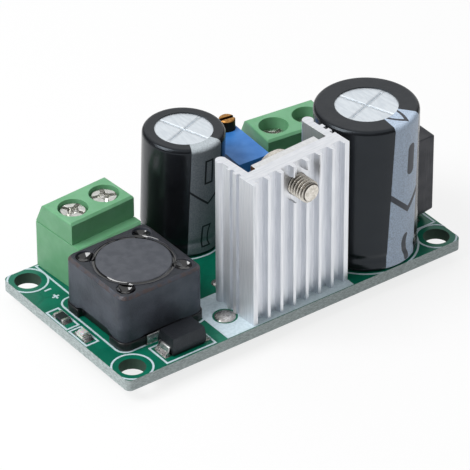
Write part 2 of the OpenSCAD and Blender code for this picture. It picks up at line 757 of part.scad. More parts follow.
module diode_case() {
    z0 = 0.1;
    z1 = diode_body[2];
    color([0.12, 0.12, 0.13])
        diode_place()
            difference() {
                intersection() {
                    rotate([90, 0, 0]) linear_extrude(9, center = true) moulded_outline(diode_body[0], z0, z1);
                    rotate([90, 0, 90]) linear_extrude(9, center = true) moulded_outline(diode_body[1], z0, z1);
                }
                diode_lead_pair();
            }
}

module diode_leads() {
    color([0.8, 0.8, 0.78]) diode_place() diode_lead_pair();
}

// Resistor and lamp, both along the left edge
module chip_ends(size, w) {
    for (s = [-1, 1]) translate([0, s * (size[0] - chip_end) / 2, 0]) {
        translate([-w / 2, -chip_end / 2, 0]) cube([w, chip_end, size[2]]);
        rotate([90, 0, 90]) linear_extrude(w, center = true)
            polygon([[s * chip_end / 2, 0], [s * (chip_end / 2 + 0.35), 0], [s * chip_end / 2, size[2] * 0.7]]);
    }
}

module resistor_body() {
    l = chip[0] - 2 * chip_end;
    color([0.1, 0.1, 0.11]) on_board(chip_x, chip_y)
        translate([-chip[1] / 2, -l / 2, 0.03]) cube([chip[1], l, chip[2] - 0.03]);
}

module resistor_ends() {
    color([0.8, 0.8, 0.79]) on_board(chip_x, chip_y) chip_ends(chip, chip[1]);
}

module lamp_base() {
    l = lamp[0] - 2 * chip_end;
    color([0.9, 0.92, 0.88]) on_board(chip_x, lamp_y)
        translate([-lamp[1] / 2, -l / 2, 0.03]) cube([lamp[1], l, 0.37]);
}

module lamp_lens() {
    l = lamp[0] - 2 * chip_end - 0.1;
    w = lamp[1];
    color([0.93, 0.94, 0.9]) on_board(chip_x, lamp_y)
        translate([0, 0, 0.4])
            rotate([90, 0, 0])
                linear_extrude(l, center = true)
                    polygon([[-w / 2, 0], [w / 2, 0], [w / 2 - 0.1, lamp[2] - 0.55], [w / 2 - 0.3, lamp[2] - 0.4],
                        [0.3 - w / 2, lamp[2] - 0.4], [0.1 - w / 2, lamp[2] - 0.55]]);
}

module lamp_ends() {
    color([0.8, 0.8, 0.79]) on_board(chip_x, lamp_y) chip_ends([lamp[0], lamp[1], 0.4], lamp[1]);
}

// Heat sink and regulator, in measures of their own: X along the fins, Y to the back
module sink_place() {
    on_board(sink_x, sink_y, sink_turn) children();
}

// One fin, thicker at its root, round the middle of its tip
module fin_outline(t) {
    r = (t + fin_draft) / 2;
    polygon([[-r, fin_d + eps], [-r, fin_d - 0.1], [-t / 2, 0.12], [0.1 - t / 2, 0], [t / 2 - 0.1, 0],
        [t / 2, 0.12], [r, fin_d - 0.1], [r, fin_d + eps]]);
}

module leg_outline() {
    end_r = leg_end_d / 2;
    corner = tab_v - 0.15;
    gap = (sink_d - leg_end_d - corner) / 3;
    translate([rib_out, fin_d]) square([leg_t, sink_d - fin_d - end_r]);
    translate([end_r, sink_d - end_r]) circle(end_r, $fn = 24);
    translate([0, 0.3]) square([rib_out + eps, corner - 0.3]);
    for (k = [1, 2]) translate([0, corner + (k - 0.45) * gap]) square([rib_out + eps, gap * 0.55]);
}

module heat_sink() {
    color([0.8, 0.81, 0.83])
        sink_place()
            difference() {
                linear_extrude(sink_h) {
                    translate([0, fin_d]) square([sink_w, sink_wall]);
                    intersection() {
                        union() {
                            for (i = [0 : fin_n - 1]) translate([fin_at(i), 0]) fin_outline(fin_t);
                            for (u = [end_fin_t / 2, sink_w - end_fin_t / 2])
                                translate([u, 0]) fin_outline(end_fin_t);
                        }
                        square([sink_w, fin_d + 2 * eps]);
                    }
                    leg_outline();
                    translate([sink_w, 0]) mirror([1, 0]) leg_outline();
                }
                translate([sink_w / 2, 0, reg_axis_z]) {
                    translate([0, fin_d, 0]) rotate([90, 0, 0]) cylinder(d = spot_d, h = 9);
                    rotate([-90, 0, 0]) cylinder(d = reg_screw_d + 2 * clamp_gap, h = 9);
                }
            }
}

// The tab's hole lets the screw sit beside its middle
tab_hole_d = reg_screw_d + 2 * reg_side + 0.2;

module regulator_tab() {
    color([0.72, 0.62, 0.5])
        sink_place()
            translate([reg_u, tab_v, 0])
                difference() {
                    translate([-reg_w / 2, 0, reg_foot]) cube([reg_w, tab_t, reg_h]);
                    for (s = [-1, 1]) translate([s * reg_w / 2 - 0.5, -1, reg_foot + case_h + 0.2])
                        cube([1, 9, 1.2]);
                    translate([0, 0, reg_axis_z]) rotate([-90, 0, 0]) cylinder(d = tab_hole_d, h = 9);
                }
}

module regulator_case() {
    c = 0.35;
    color([0.13, 0.13, 0.14])
        sink_place()
            translate([reg_u, tab_v + tab_t, reg_foot])
                linear_extrude(case_h)
                    polygon([[-reg_w / 2, 0], [reg_w / 2, 0], [reg_w / 2, case_t - c], [reg_w / 2 - c, case_t],
                        [c - reg_w / 2, case_t], [-reg_w / 2, case_t - c]]);
}

// Five flat leads, every second one bent back to the second row
module regulator_leads() {
    w = reg_lead[0];
    t = reg_lead[1];
    low = -seat_z - lead_out;
    bend = reg_foot - 2.4;
    color([0.78, 0.78, 0.76])
        sink_place()
            for (i = [0 : 4]) translate([reg_u + (i - 2) * reg_pitch - w / 2, lead_v - t / 2, 0]) {
                if (i % 2 == 0) translate([0, 0, low]) cube([w, t, reg_foot - low]);
                else {
                    translate([0, 0, bend]) cube([w, t, reg_foot - bend]);
                    translate([0, 0, bend - t]) cube([w, reg_row + t, t + eps]);
                    translate([0, reg_row, low]) cube([w, t, bend - low]);
                }
            }
}

module regulator_screw() {
    r = reg_screw_d / 2;
    color([0.62, 0.52, 0.36])
        sink_place()
            translate([sink_w / 2, tab_v + tab_t, reg_axis_z])
                rotate([-90, 0, 0])
                    difference() {
                        rotate_extrude()
                            polygon([[0, -reg_screw_l], [r - 0.4, -reg_screw_l], [r, 0.4 - reg_screw_l], [r, 0],
                                [reg_head_d / 2, 0], [reg_head_d / 2, reg_head_h - 0.7],
                                [reg_head_d / 2 - 0.6, reg_head_h], [0, reg_head_h]]);
                        for (a = [0, 90]) rotate([0, 0, a]) translate([-1.5, -0.3, reg_head_h - 0.9])
                            cube([3, 0.6, 2]);
                    }
}

// Electrolytic capacitors. The can stands on a rubber bung, the sleeve shrinks round it.
function can_points(r, z0, z1, e) = concat([[0, z0], [r - 0.4, z0], [r - 0.1, z0 + 0.1], [r, z0 + 0.4]],
    [for (k = [-4 : 4]) [r - crimp * (1 + cos(45 * k)) / 2, bung_h + crimp_h + k * 0.2]],
    [for (a = [0 : 15 : 90]) [r - e + e * cos(a), z1 - e + e * sin(a)]], [[0, z1]]);

// Width of the cross scored into the cans' tops
score_w = 0.12;

module cap_can(d, h, disc_d) {
    r = d / 2 - sleeve_t;
    difference() {
        rotate_extrude($fn = 96) polygon(can_points(r, bung_h, h - sleeve_t, can_round));
        for (a = [20, 110]) translate([0, 0, h - sleeve_t]) rotate([0, 0, a])
            cube([disc_d * 0.86, score_w, 0.2], center = true);
    }
}

module cap_sleeve(d, h, disc_d) {
    r = d / 2;
    rotate_extrude($fn = 96)
        difference() {
            polygon(can_points(r, bung_h - sleeve_t, h, can_round + sleeve_t * 0.6));
            polygon(can_points(r - sleeve_t, bung_h, h - sleeve_t, can_round));
            translate([-1, bung_h + 1]) square([1 + disc_d / 2, h]);
            translate([-1, 0]) square([r - 0.2, bung_h + eps]);
        }
}

// Tips a capacitor over its bung's lower edge
module leaning(d, lean) {
    translate([0, 0, (d / 2 - bung_in) * sin(lean)])
        rotate([0, 0, small_cap_lean_to]) rotate([0, lean, 0]) rotate([0, 0, -small_cap_lean_to])
            children();
}

// Two upright leads, which end where the can begins
module cap_leads(d, gap, lean) {
    difference() {
        for (s = [-1, 1]) translate([s * gap / 2, 0, -seat_z - lead_out])
            cylinder(d = cap_lead_d, h = seat_z + lead_out + 2 * bung_h, $fn = 32);
        leaning(d, lean) translate([-d / 2, -d / 2, bung_h]) cube([d, d, d]);
    }
}

module cap_bung(d, gap, lean) {
    difference() {
        leaning(d, lean) cylinder(d = d - 2 * bung_in, h = bung_h);
        for (s = [-1, 1]) translate([s * gap / 2, 0, -1]) cylinder(d = cap_lead_d, h = 3 * bung_h + 2, $fn = 32);
    }
}

module small_cap_place() {
    on_board(small_cap_x, small_cap_y) children();
}

module large_cap_place() {
    on_board(large_cap_x, large_cap_y) children();
}

module output_capacitor_can() {
    color([0.82, 0.85, 0.88])
        small_cap_place() leaning(small_cap_d, small_cap_lean) cap_can(small_cap_d, small_cap_h, small_disc_d);
}

module output_capacitor_sleeve() {
    color([0.13, 0.13, 0.15])
        small_cap_place() leaning(small_cap_d, small_cap_lean) cap_sleeve(small_cap_d, small_cap_h, small_disc_d);
}

module output_capacitor_bung() {
    color([0.08, 0.08, 0.08]) small_cap_place() cap_bung(small_cap_d, small_lead_gap, small_cap_lean);
}

module output_capacitor_leads() {
    color([0.8, 0.8, 0.78]) small_cap_place() cap_leads(small_cap_d, small_lead_gap, small_cap_lean);
}

module input_capacitor_can() {
    color([0.82, 0.85, 0.88]) large_cap_place() cap_can(large_cap_d, large_cap_h, large_disc_d);
}

module input_capacitor_sleeve() {
    color([0.13, 0.13, 0.15]) large_cap_place() cap_sleeve(large_cap_d, large_cap_h, large_disc_d);
}

module input_capacitor_bung() {
    color([0.08, 0.08, 0.08]) large_cap_place() cap_bung(large_cap_d, large_lead_gap, 0);
}

module input_capacitor_leads() {
    color([0.8, 0.8, 0.78]) large_cap_place() cap_leads(large_cap_d, large_lead_gap, 0);
}

// Bridge rectifier on edge along the right end
module bridge_case() {
    z0 = bridge_lift;
    z1 = bridge_lift + bridge_h;
    c = bridge_cut;
    color([0.24, 0.24, 0.26])
        on_board(bridge_x, bridge_y)
            rotate([90, 0, 90])
                linear_extrude(bridge_t)
                    polygon([[c, z0], [bridge_l, z0], [bridge_l, z1], [0, z1], [0, z0 + c]]);
}

module bridge_leads() {
    color([0.8, 0.8, 0.78])
        on_board(bridge_row_x, bridge_y + bridge_l / 2)
            for (i = [0 : 3]) translate([0, (i - 1.5) * bridge_pitch, -seat_z - lead_out])
                cylinder(d = bridge_lead_d, h = seat_z + lead_out + bridge_lift, $fn = 32);
}

// Trimming potentiometer with its adjusting screw at the far end
module trimmer_place() {
    on_board(trim_x, trim_y, trim_turn) translate([-trim_body[0], -trim_body[1], 0]) children();
}

trim_screw_at = [trim_body[0] - trim_screw_in, trim_body[1] - trim_screw_in];

module trimmer_case() {
    b = trim_body;
    color([0.2, 0.42, 0.78])
        trimmer_place()
            difference() {
                union() {
                    translate([0, 0, trim_feet]) cube([b[0], b[1], b[2] - trim_feet]);
                    for (x = [0, b[0] - 1], y = [0, b[1] - 1]) translate([x, y, 0]) cube([1, 1, trim_feet + eps]);
                }
                translate([trim_screw_at[0], trim_screw_at[1], b[2] - 2])
                    cylinder(d = trim_screw_d + 2 * clamp_gap, h = 3);
            }
}

module trimmer_screw() {
    color([0.75, 0.55, 0.25])
        trimmer_place()
            translate([trim_screw_at[0], trim_screw_at[1], trim_body[2] - 2 + clamp_gap])
                difference() {
                    h = 2 - clamp_gap + trim_screw_h;
                    rotate_extrude()
                        polygon([[0, 0], [trim_screw_d / 2, 0], [trim_screw_d / 2, h - 0.15],
                            [trim_screw_d / 2 - 0.15, h], [0, h]]);
                    translate([0, 0, h]) rotate([0, 0, 40]) cube([4, 0.5, 1.3], center = true);
                }
}

module trimmer_pins() {
    color([0.8, 0.8, 0.78])
        trimmer_place()
            for (i = [-1 : 1]) translate([trim_body[0] / 2, trim_body[1] / 2 + i * trim_pitch, -seat_z - lead_out])
                cylinder(d = trim_pin_d, h = seat_z + lead_out + trim_feet, $fn = 32);
}

circuit_board();
legend_print();
board_pads();
solder_joints();
output_terminal_housing();
output_terminal_frames();
output_clamp_plate_left();
output_clamp_plate_right();
output_clamp_screw_left();
output_clamp_screw_right();
input_terminal_housing();
input_terminal_frames();
input_clamp_plate_left();
input_clamp_plate_right();
input_clamp_screw_left();
input_clamp_screw_right();
inductor_base();
inductor_clips();
inductor_core();
inductor_winding();
inductor_shield();
inductor_glue();
diode_case();
diode_leads();
resistor_body();
resistor_ends();
lamp_base();
lamp_lens();
lamp_ends();
heat_sink();
regulator_tab();
regulator_case();
regulator_leads();
regulator_screw();
output_capacitor_can();
output_capacitor_sleeve();
output_capacitor_bung();
output_capacitor_leads();
input_capacitor_can();
input_capacitor_sleeve();
input_capacitor_bung();
input_capacitor_leads();
bridge_case();
bridge_leads();
trimmer_case();
trimmer_screw();
trimmer_pins();
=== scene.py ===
# %% [markdown]
# # Dressing a small voltage converter
# The CAD model gives every piece of the converter its shape and place, in metres. This lesson loads it as
# a fixed frame, gives every piece a finish made of shader nodes, softens its edges, and sets a camera on
# the side that the photograph shows.

# %% Load the frame
import json
import math

import bmesh
import bpy
from mathutils import Matrix, Vector, noise


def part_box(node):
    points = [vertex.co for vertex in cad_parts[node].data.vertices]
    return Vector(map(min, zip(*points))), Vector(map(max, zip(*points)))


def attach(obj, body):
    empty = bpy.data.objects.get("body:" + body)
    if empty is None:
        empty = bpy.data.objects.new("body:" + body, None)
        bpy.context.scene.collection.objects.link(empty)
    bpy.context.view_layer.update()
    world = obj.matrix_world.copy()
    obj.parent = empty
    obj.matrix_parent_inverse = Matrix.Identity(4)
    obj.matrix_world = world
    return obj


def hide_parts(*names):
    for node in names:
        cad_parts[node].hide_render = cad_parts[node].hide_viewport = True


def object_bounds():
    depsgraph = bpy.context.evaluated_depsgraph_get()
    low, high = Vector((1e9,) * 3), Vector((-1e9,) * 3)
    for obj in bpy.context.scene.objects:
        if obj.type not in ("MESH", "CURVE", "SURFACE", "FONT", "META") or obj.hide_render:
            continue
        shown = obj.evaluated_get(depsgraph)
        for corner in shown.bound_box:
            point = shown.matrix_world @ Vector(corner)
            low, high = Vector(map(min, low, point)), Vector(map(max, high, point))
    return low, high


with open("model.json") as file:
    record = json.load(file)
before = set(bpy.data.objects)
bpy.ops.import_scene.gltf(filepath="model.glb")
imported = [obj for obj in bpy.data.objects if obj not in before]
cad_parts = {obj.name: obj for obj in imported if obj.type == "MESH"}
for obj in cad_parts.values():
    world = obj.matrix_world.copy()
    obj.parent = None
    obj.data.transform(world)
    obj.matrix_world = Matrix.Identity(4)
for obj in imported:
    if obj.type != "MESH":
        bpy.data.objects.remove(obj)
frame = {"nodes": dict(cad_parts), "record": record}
cad_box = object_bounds()
nodes = frame["nodes"]
body_of = {}
for body, pieces in frame["record"]["behaviour"]["bodies"].items():
    body_of.update({piece: body for piece in pieces})

# %% [markdown]
# ## Millimetres and colours
# Board pieces are thought of in millimetres, while Blender works in metres. Colours are judged on a
# screen, from 0 to 255, and the renderer wants them as amounts of light. Two helpers keep both changes in
# one place each.

# %% Units
MM = 0.001


def paint(red, green, blue):
    """A colour as the screen shows it, turned into the light values that a shader takes."""
    light = [v / 255 for v in (red, green, blue)]
    return tuple(v / 12.92 if v <= 0.04045 else ((v + 0.055) / 1.055) ** 2.4 for v in light) + (1.0,)


def middle_mm(piece):
    """The middle of a CAD piece's box, in millimetres."""
    low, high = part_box(piece)
    return (low + high) / 2 / MM


board_low, board_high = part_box("circuit_board")
print("the board is", [round(v, 1) for v in (board_high - board_low) / MM], "mm")

# %% [markdown]
# ## A workbench for finishes
# A finish is a Principled shader fed by a few patterns: noise for grain, cells for copper areas,
# ramps to sharpen them and bumps for relief. Wiring nodes one by one hides the idea, so a small
# class holds the tree and gives each pattern a short call. All patterns are measured in
# millimetres of the part's own frame, so a grain has the same size on every piece.

# %% The finish class
class Finish:
    """A material under construction."""

    def __init__(self, name, colour, roughness, metallic=0.0, **sockets):
        self.name = name
        self.material = bpy.data.materials.new(name)
        self.material.use_nodes = True
        self.material.diffuse_color = colour
        self.tree = self.material.node_tree
        self.shader = self.tree.nodes["Principled BSDF"]
        self.set("Base Color", colour)
        self.set("Roughness", roughness)
        self.set("Metallic", metallic)
        for socket, value in sockets.items():
            self.set(socket.replace("_", " "), value)
        self.coordinates = self.add("ShaderNodeTexCoord")
        self.point = self.vector("SCALE", self.coordinates.outputs["Object"], scale=1 / MM)

    def add(self, kind, **settings):
        node = self.tree.nodes.new(kind)
        for setting, value in settings.items():
            setattr(node, setting, value)
        return node

    def feed(self, socket, value):
        if isinstance(value, bpy.types.NodeSocket):
            self.tree.links.new(value, socket)
        else:
            socket.default_value = value

    def set(self, socket, value):
        self.feed(self.shader.inputs[socket], value)

    def vector(self, operation, a, b=(0, 0, 0), scale=1.0):
        node = self.add("ShaderNodeVectorMath", operation=operation)
        self.feed(node.inputs[0], a)
        self.feed(node.inputs[1], b)
        node.inputs[3].default_value = scale
        return node.outputs[1 if operation in ("LENGTH", "DOT_PRODUCT") else 0]

    def math(self, operation, a, b=0.0, c=0.0):
        node = self.add("ShaderNodeMath", operation=operation)
        for socket, value in zip(node.inputs, (a, b, c)):
            self.feed(socket, value)
        return node.outputs[0]

    def plus(self, a, b):
        return self.math("ADD", a, b)

    def minus(self, a, b):
        return self.math("SUBTRACT", a, b)

    def times(self, a, b):
        return self.math("MULTIPLY", a, b)

    def parts(self, point):
        """The x, y and z of a point."""
        node = self.add("ShaderNodeSeparateXYZ")
        self.feed(node.inputs[0], point)
        return node.outputs

    def facing(self, axis):
        """How far the surface faces along axis 0, 1 or 2, from -1 to 1."""
        return self.parts(self.coordinates.outputs["Normal"])[axis]

    def ramp(self, value, low, high, start=0.0, end=1.0):
        """A soft step from start to end as value goes from low to high."""
        node = self.add("ShaderNodeMapRange", interpolation_type="SMOOTHSTEP")
        for socket, number in zip(node.inputs, (value, low, high, start, end)):
            self.feed(socket, number)
        return node.outputs[0]

    def grain(self, per_mm, detail=2.0, stretch=(1, 1, 1)):
        """Noise with that many grains in a millimetre, squeezed by stretch along each axis."""
        node = self.add("ShaderNodeTexNoise")
        self.feed(node.inputs["Vector"], self.vector("MULTIPLY", self.point, stretch))
        node.inputs["Scale"].default_value = per_mm
        node.inputs["Detail"].default_value = detail
        return node.outputs[0]

    def cell_edges(self, per_mm, stretch=(1, 1, 1)):
        """The distance to the border of cells, with that many cells in a millimetre."""
        node = self.add("ShaderNodeTexVoronoi", feature="DISTANCE_TO_EDGE")
        self.feed(node.inputs["Vector"], self.vector("MULTIPLY", self.point, stretch))
        node.inputs["Scale"].default_value = per_mm
        return node.outputs["Distance"]

    def mix(self, share, a, b):
        """Colour a where share is 0 and b where it is 1."""
        node = self.add("ShaderNodeMix", data_type="RGBA")
        self.feed(node.inputs[0], share)
        self.feed(node.inputs[6], a)
        self.feed(node.inputs[7], b)
        return node.outputs[2]

    def drift(self, dark, light, per_mm, detail=3, stretch=(1, 1, 1), low=0.3, high=0.7):
        """A colour that drifts between two others with the grain."""
        return self.mix(self.ramp(self.grain(per_mm, detail, stretch), low, high), dark, light)

    def relief(self, height, depth_mm, over=None):
        """Relief of that depth in millimetres, on top of an earlier relief."""
        node = self.add("ShaderNodeBump")
        node.inputs["Distance"].default_value = depth_mm * MM
        self.feed(node.inputs["Height"], height)
        if over is not None:
            self.feed(node.inputs["Normal"], over)
        return node.outputs[0]


finishes = {}


def keep(finish):
    """Files a finished material under its slot's name."""
    finishes[finish.name] = finish.material
    print("finish", finish.name, "with", len(finish.tree.nodes), "nodes")


# %% [markdown]
# ## The circuit board
# The real board is glass cloth in resin. Its faces carry copper areas under green solder mask, and its
# sawn sides show the pale cloth. One material can do both, because the surface's own normal tells a face
# from a side. Cells with straight borders stand for the copper areas: the narrow gap between two of them
# is darker and a little lower. The walls of the corner holes are painted darker than the sawn sides, a
# painted shade for the hollow, so they are told by their distance from a hole's middle.

# %% Solder mask over copper, glass cloth at the sides
corner_holes = frame["record"]["mounts"][0]["dims"]
HOLE_SPOT = (corner_holes["spacing_x_mm"] / 2, corner_holes["spacing_y_mm"] / 2, 0)
HOLE_WALL = corner_holes["hole_r_mm"] + 0.1
CLOTH_ROUGHNESS, MASK_ROUGHNESS = 0.75, 0.3

board = Finish("solder_mask", paint(2, 104, 78), 0.32, Specular_IOR_Level=0.3)
is_face = board.math("GREATER_THAN", board.math("ABSOLUTE", board.facing(2)), 0.5)
gap = board.ramp(board.cell_edges(0.16, (1, 1, 0.01)), 0.012, 0.03)
copper = board.drift(paint(3, 99, 77), paint(10, 112, 88), 0.35)
mask = board.mix(gap, paint(5, 101, 79), copper)
cloth_and_hole_shade = board.drift(paint(160, 172, 172), paint(202, 213, 213), 2.2, 3, (1, 1, 6), 0.35, 0.65)
from_hole = board.vector("SUBTRACT", board.vector("ABSOLUTE", board.point), HOLE_SPOT)
from_hole = board.vector("LENGTH", board.vector("MULTIPLY", from_hole, (1, 1, 0)))
# the walls of the corner holes get a painted shade
hole_wall_shade = board.math("LESS_THAN", from_hole, HOLE_WALL)
cloth_and_hole_shade = board.mix(hole_wall_shade, cloth_and_hole_shade, paint(58, 82, 70))
board.set("Base Color", board.mix(is_face, cloth_and_hole_shade, mask))
board.set("Roughness", board.ramp(is_face, 0, 1, CLOTH_ROUGHNESS, MASK_ROUGHNESS))
lay = board.relief(gap, 0.006)
board.set("Normal", board.relief(board.grain(3, 3), 0.012, lay))
keep(board)

# %% [markdown]
# ## Plastics, resins and ceramics
# Moulded pieces differ in colour, gloss and grain, but they are built the same way: a colour that drifts a
# little, a gloss that drifts with it and a fine relief. One function makes them all. The black epoxy's
# reflections are tinted cold in its material, a painted cool sheen that stands in for cool light, since
# the lamps are white.

# %% Moulded finishes
# a cold tint for reflections: a painted cool sheen, since the lamps are white
PAINTED_COOL_SHEEN = (0.78, 0.89, 1.0, 1.0)
DULLER, GLOSSIER = 1.12, 0.9


def moulded(name, light, dark, roughness, grains, depth_mm, patch=0.5, stretch=(1, 1, 1), **sockets):
    """A plain moulded surface with drifting colour, gloss and a fine grain."""
    finish = Finish(name, light, roughness, **sockets)
    drift = finish.ramp(finish.grain(patch, 3), 0.3, 0.7)
    finish.set("Base Color", finish.mix(drift, dark, light))
    finish.set("Roughness", finish.ramp(drift, 0, 1, roughness * DULLER, roughness * GLOSSIER))
    finish.set("Normal", finish.relief(finish.grain(grains, 3, stretch), depth_mm))
    return finish


keep(moulded("legend_ink", paint(204, 220, 228), paint(188, 206, 214), 0.55, 6, 0.01, 2.5))
keep(moulded("green_nylon", paint(114, 174, 132), paint(104, 166, 122), 0.42, 3, 0.012, 0.4,
             Subsurface_Weight=0.2, Subsurface_Radius=(0.5, 1.0, 0.45), Subsurface_Scale=0.9 * MM))
keep(moulded("black_base", paint(24, 25, 28), paint(18, 19, 22), 0.35, 3, 0.01))
keep(moulded("black_glue", paint(10, 10, 13), paint(7, 7, 9), 0.09, 0.8, 0.006,
             Coat_Weight=1.0, Coat_Roughness=0.04))
keep(moulded("white_ceramic", paint(226, 230, 222), paint(208, 214, 205), 0.6, 5, 0.01))
keep(moulded("lens_resin", paint(242, 246, 242), paint(228, 233, 228), 0.15, 2, 0.01,
             Transmission_Weight=0.35, Subsurface_Weight=0.3, Subsurface_Scale=0.5 * MM))
keep(moulded("black_rubber", paint(26, 26, 27), paint(18, 18, 19), 0.7, 4, 0.02))
keep(moulded("blue_housing", paint(62, 136, 216), paint(52, 124, 204), 0.46, 4, 0.012, 0.6))
# the black epoxy's reflections carry the painted cool sheen
keep(moulded("black_epoxy", paint(27, 28, 32), paint(19, 20, 24), 0.42, 5, 0.05, Specular_Tint=PAINTED_COOL_SHEEN))
keep(moulded("bridge_epoxy", paint(64, 66, 73), paint(56, 58, 65), 0.5, 5, 0.04, stretch=(1, 1, 0.12)))

# %% [markdown]
# ## Ferrite
# The coil's shield is pressed from iron powder and fired. It is nearly black, its reflections are tinted
# cold as a painted cool sheen, and the chamfer round its top has worn to a warmer brown. The surface
# normal tells the chamfer from the flats on both sides of it, and noise breaks the wear up. The top is
# painted darker than the sides, a painted shade for how the light falls on it.

# %% Ferrite of the shield and of the core
WEAR_TILT, WEAR_SPREAD = 0.62, 0.3
# the shield's specular tint is a painted cool sheen
ferrite = Finish("ferrite", paint(44, 44, 50), 0.44, IOR=1.6, Specular_Tint=(0.72, 0.86, 1.0, 1.0))
tilt = ferrite.facing(2)
off = ferrite.math("ABSOLUTE", ferrite.minus(tilt, WEAR_TILT))
on_chamfer = ferrite.ramp(off, WEAR_SPREAD * 0.6, WEAR_SPREAD, 1.0, 0.0)
worn = ferrite.times(on_chamfer, ferrite.ramp(ferrite.grain(1.4, 3), 0.36, 0.6, 0.15, 1.0))
cloud_and_shaded_top = ferrite.drift(paint(48, 50, 58), paint(68, 71, 80), 0.3, low=0.35, high=0.65)
# the top faces are painted darker: a painted shade for how the light falls on the top
cloud_and_shaded_top = ferrite.mix(ferrite.ramp(tilt, 0.88, 0.97), cloud_and_shaded_top, paint(33, 31, 35))
ferrite.set("Base Color", ferrite.mix(worn, cloud_and_shaded_top, paint(70, 56, 52)))
waves = ferrite.relief(ferrite.grain(0.7, 2), 0.1)
ferrite.set("Normal", ferrite.relief(ferrite.grain(5, 4), 0.05, waves))
keep(ferrite)
keep(moulded("core_ferrite", paint(82, 85, 92), paint(74, 77, 84), 0.6, 4.5, 0.03, 0.8,
             Specular_IOR_Level=0.4))

# %% [markdown]
# ## Metals
# Bare metal shows how it was worked. Plating is nearly smooth, rolled and extruded metal has lines
# along its length, and solder is slightly dimpled. The working lines are noise, and they drive the
# colour, the gloss and the relief together.

# %% Worked metals
GLOSS_SPREAD = 0.3


def worked(name, light, dark, roughness, grains, depth_mm):
    """Metal whose colour, gloss and relief follow one grain."""
    finish = Finish(name, light, roughness, 1.0)
    streak = finish.ramp(finish.grain(grains, 4), 0.3, 0.7)
    finish.colour = finish.mix(streak, dark, light)
    finish.set("Base Color", finish.colour)
    dull, glossy = roughness * (1 + GLOSS_SPREAD), roughness * (1 - GLOSS_SPREAD)
    finish.set("Roughness", finish.ramp(streak, 0, 1, dull, glossy))
    finish.set("Normal", finish.relief(finish.grain(grains * 1.5, 3), depth_mm))
    return finish


keep(worked("solder", paint(200, 198, 196), paint(160, 158, 156), 0.34, 2.5, 0.05))
keep(worked("tinned_steel", paint(226, 227, 226), paint(206, 206, 204), 0.34, 2, 0.008))
keep(worked("zinc_plated_steel", paint(226, 226, 222), paint(196, 196, 192), 0.22, 4, 0.012))
keep(worked("enamelled_copper", paint(150, 78, 42), paint(120, 58, 30), 0.25, 2, 0.01))

# %% [markdown]
# ## Screws with painted shade
# The screw that holds the regulator is nickel plated, and the roots between its turns are painted darker,
# a painted shade where the thread's hollows lie in shadow. A mask on the distance from the screw's axis
# finds the roots of the thread, and leaves out the head and the end. The trimmer's screw is brass, and its
# side is painted dark below its bright top, a painted shade.

# %% Nickel with painted shade in its thread, brass with painted shade on its sides
SCREW_SEAT = Vector((0.7345, -9.079, 19.39))
SCREW_WAY = Vector((0.0645, -0.9979, 0.0)).normalized()
CREST, ROOT, THREAD_PITCH = 1.5, 1.17, 0.5
# the span of the thread's radius that gets a painted shade
ROOT_SHADE_FULL, ROOT_SHADE_NONE = ROOT + 0.02, CREST - 0.1
HEAD_LENGTH = 0.5

screw = worked("nickel_plated_steel", paint(232, 228, 220), paint(206, 200, 190), 0.38, 4, 0.012)
away = screw.vector("SUBTRACT", screw.point, tuple(SCREW_SEAT))
from_axis = screw.vector("LENGTH", screw.vector("CROSS_PRODUCT", away, tuple(SCREW_WAY)))
in_root = screw.ramp(from_axis, ROOT_SHADE_FULL, ROOT_SHADE_NONE, 1.0, 0.0)
past_head = screw.math("GREATER_THAN", screw.vector("DOT_PRODUCT", away, tuple(SCREW_WAY)), HEAD_LENGTH)
is_end = screw.math("LESS_THAN", screw.facing(1), -0.9)
root_shade = screw.times(screw.times(in_root, past_head), screw.minus(1.0, is_end))
# the roots of the thread get a painted shade
screw.set("Base Color", screw.mix(root_shade, screw.colour, paint(78, 72, 66)))
keep(screw)

brass = worked("trimmer_brass", paint(200, 150, 88), paint(160, 112, 58), 0.42, 5, 0.02)
# the brass's side is painted dark below its top: a painted shade
is_flat = brass.ramp(brass.math("ABSOLUTE", brass.facing(2)), 0.3, 0.7)
brass.set("Base Color", brass.mix(is_flat, paint(76, 54, 34), brass.colour))
keep(brass)

# %% [markdown]
# ## Extruded aluminium
# The heat sink was pushed through a die and sawn to length, so its sides have fine lines that run
# upwards and its top has lines across. The normal tells the two apart. Its left cheek was rubbed
# duller than the fins, which the photograph shows as a softer shine.

# %% The heat sink
CHEEK_WIDTH = 0.95
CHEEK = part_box("heat_sink")[0].x / MM + CHEEK_WIDTH
FIN_ROUGHNESS, CHEEK_ROUGHNESS = 0.46, 0.66
extruded = Finish("extruded_aluminium", paint(226, 229, 234), 0.45, 1.0)
is_sawn = extruded.math("GREATER_THAN", extruded.facing(2), 0.7)
drawn = extruded.grain(6, 4, (1, 1, 0.04))
sawn = extruded.grain(5, 3, (0.12, 1, 1))
lines = extruded.plus(extruded.times(sawn, is_sawn), extruded.times(drawn, extruded.minus(1.0, is_sawn)))
streak = extruded.ramp(lines, 0.3, 0.7)
extruded.set("Base Color", extruded.mix(streak, paint(228, 231, 236), paint(240, 242, 246)))
on_cheek = extruded.math("LESS_THAN", extruded.parts(extruded.point)[0], CHEEK)
dull = extruded.ramp(on_cheek, 0, 1, FIN_ROUGHNESS, CHEEK_ROUGHNESS)
extruded.set("Roughness", extruded.minus(dull, extruded.times(streak, 0.08)))
extruded.set("Normal", extruded.relief(lines, 0.004))
keep(extruded)

# %% [markdown]
# ## Tinned copper
# The regulator's tab is copper under a thin coat of tin. Where it was cut from its strip, at its
# left and right ends, the copper shows. Those ends face sideways, so the normal finds them.

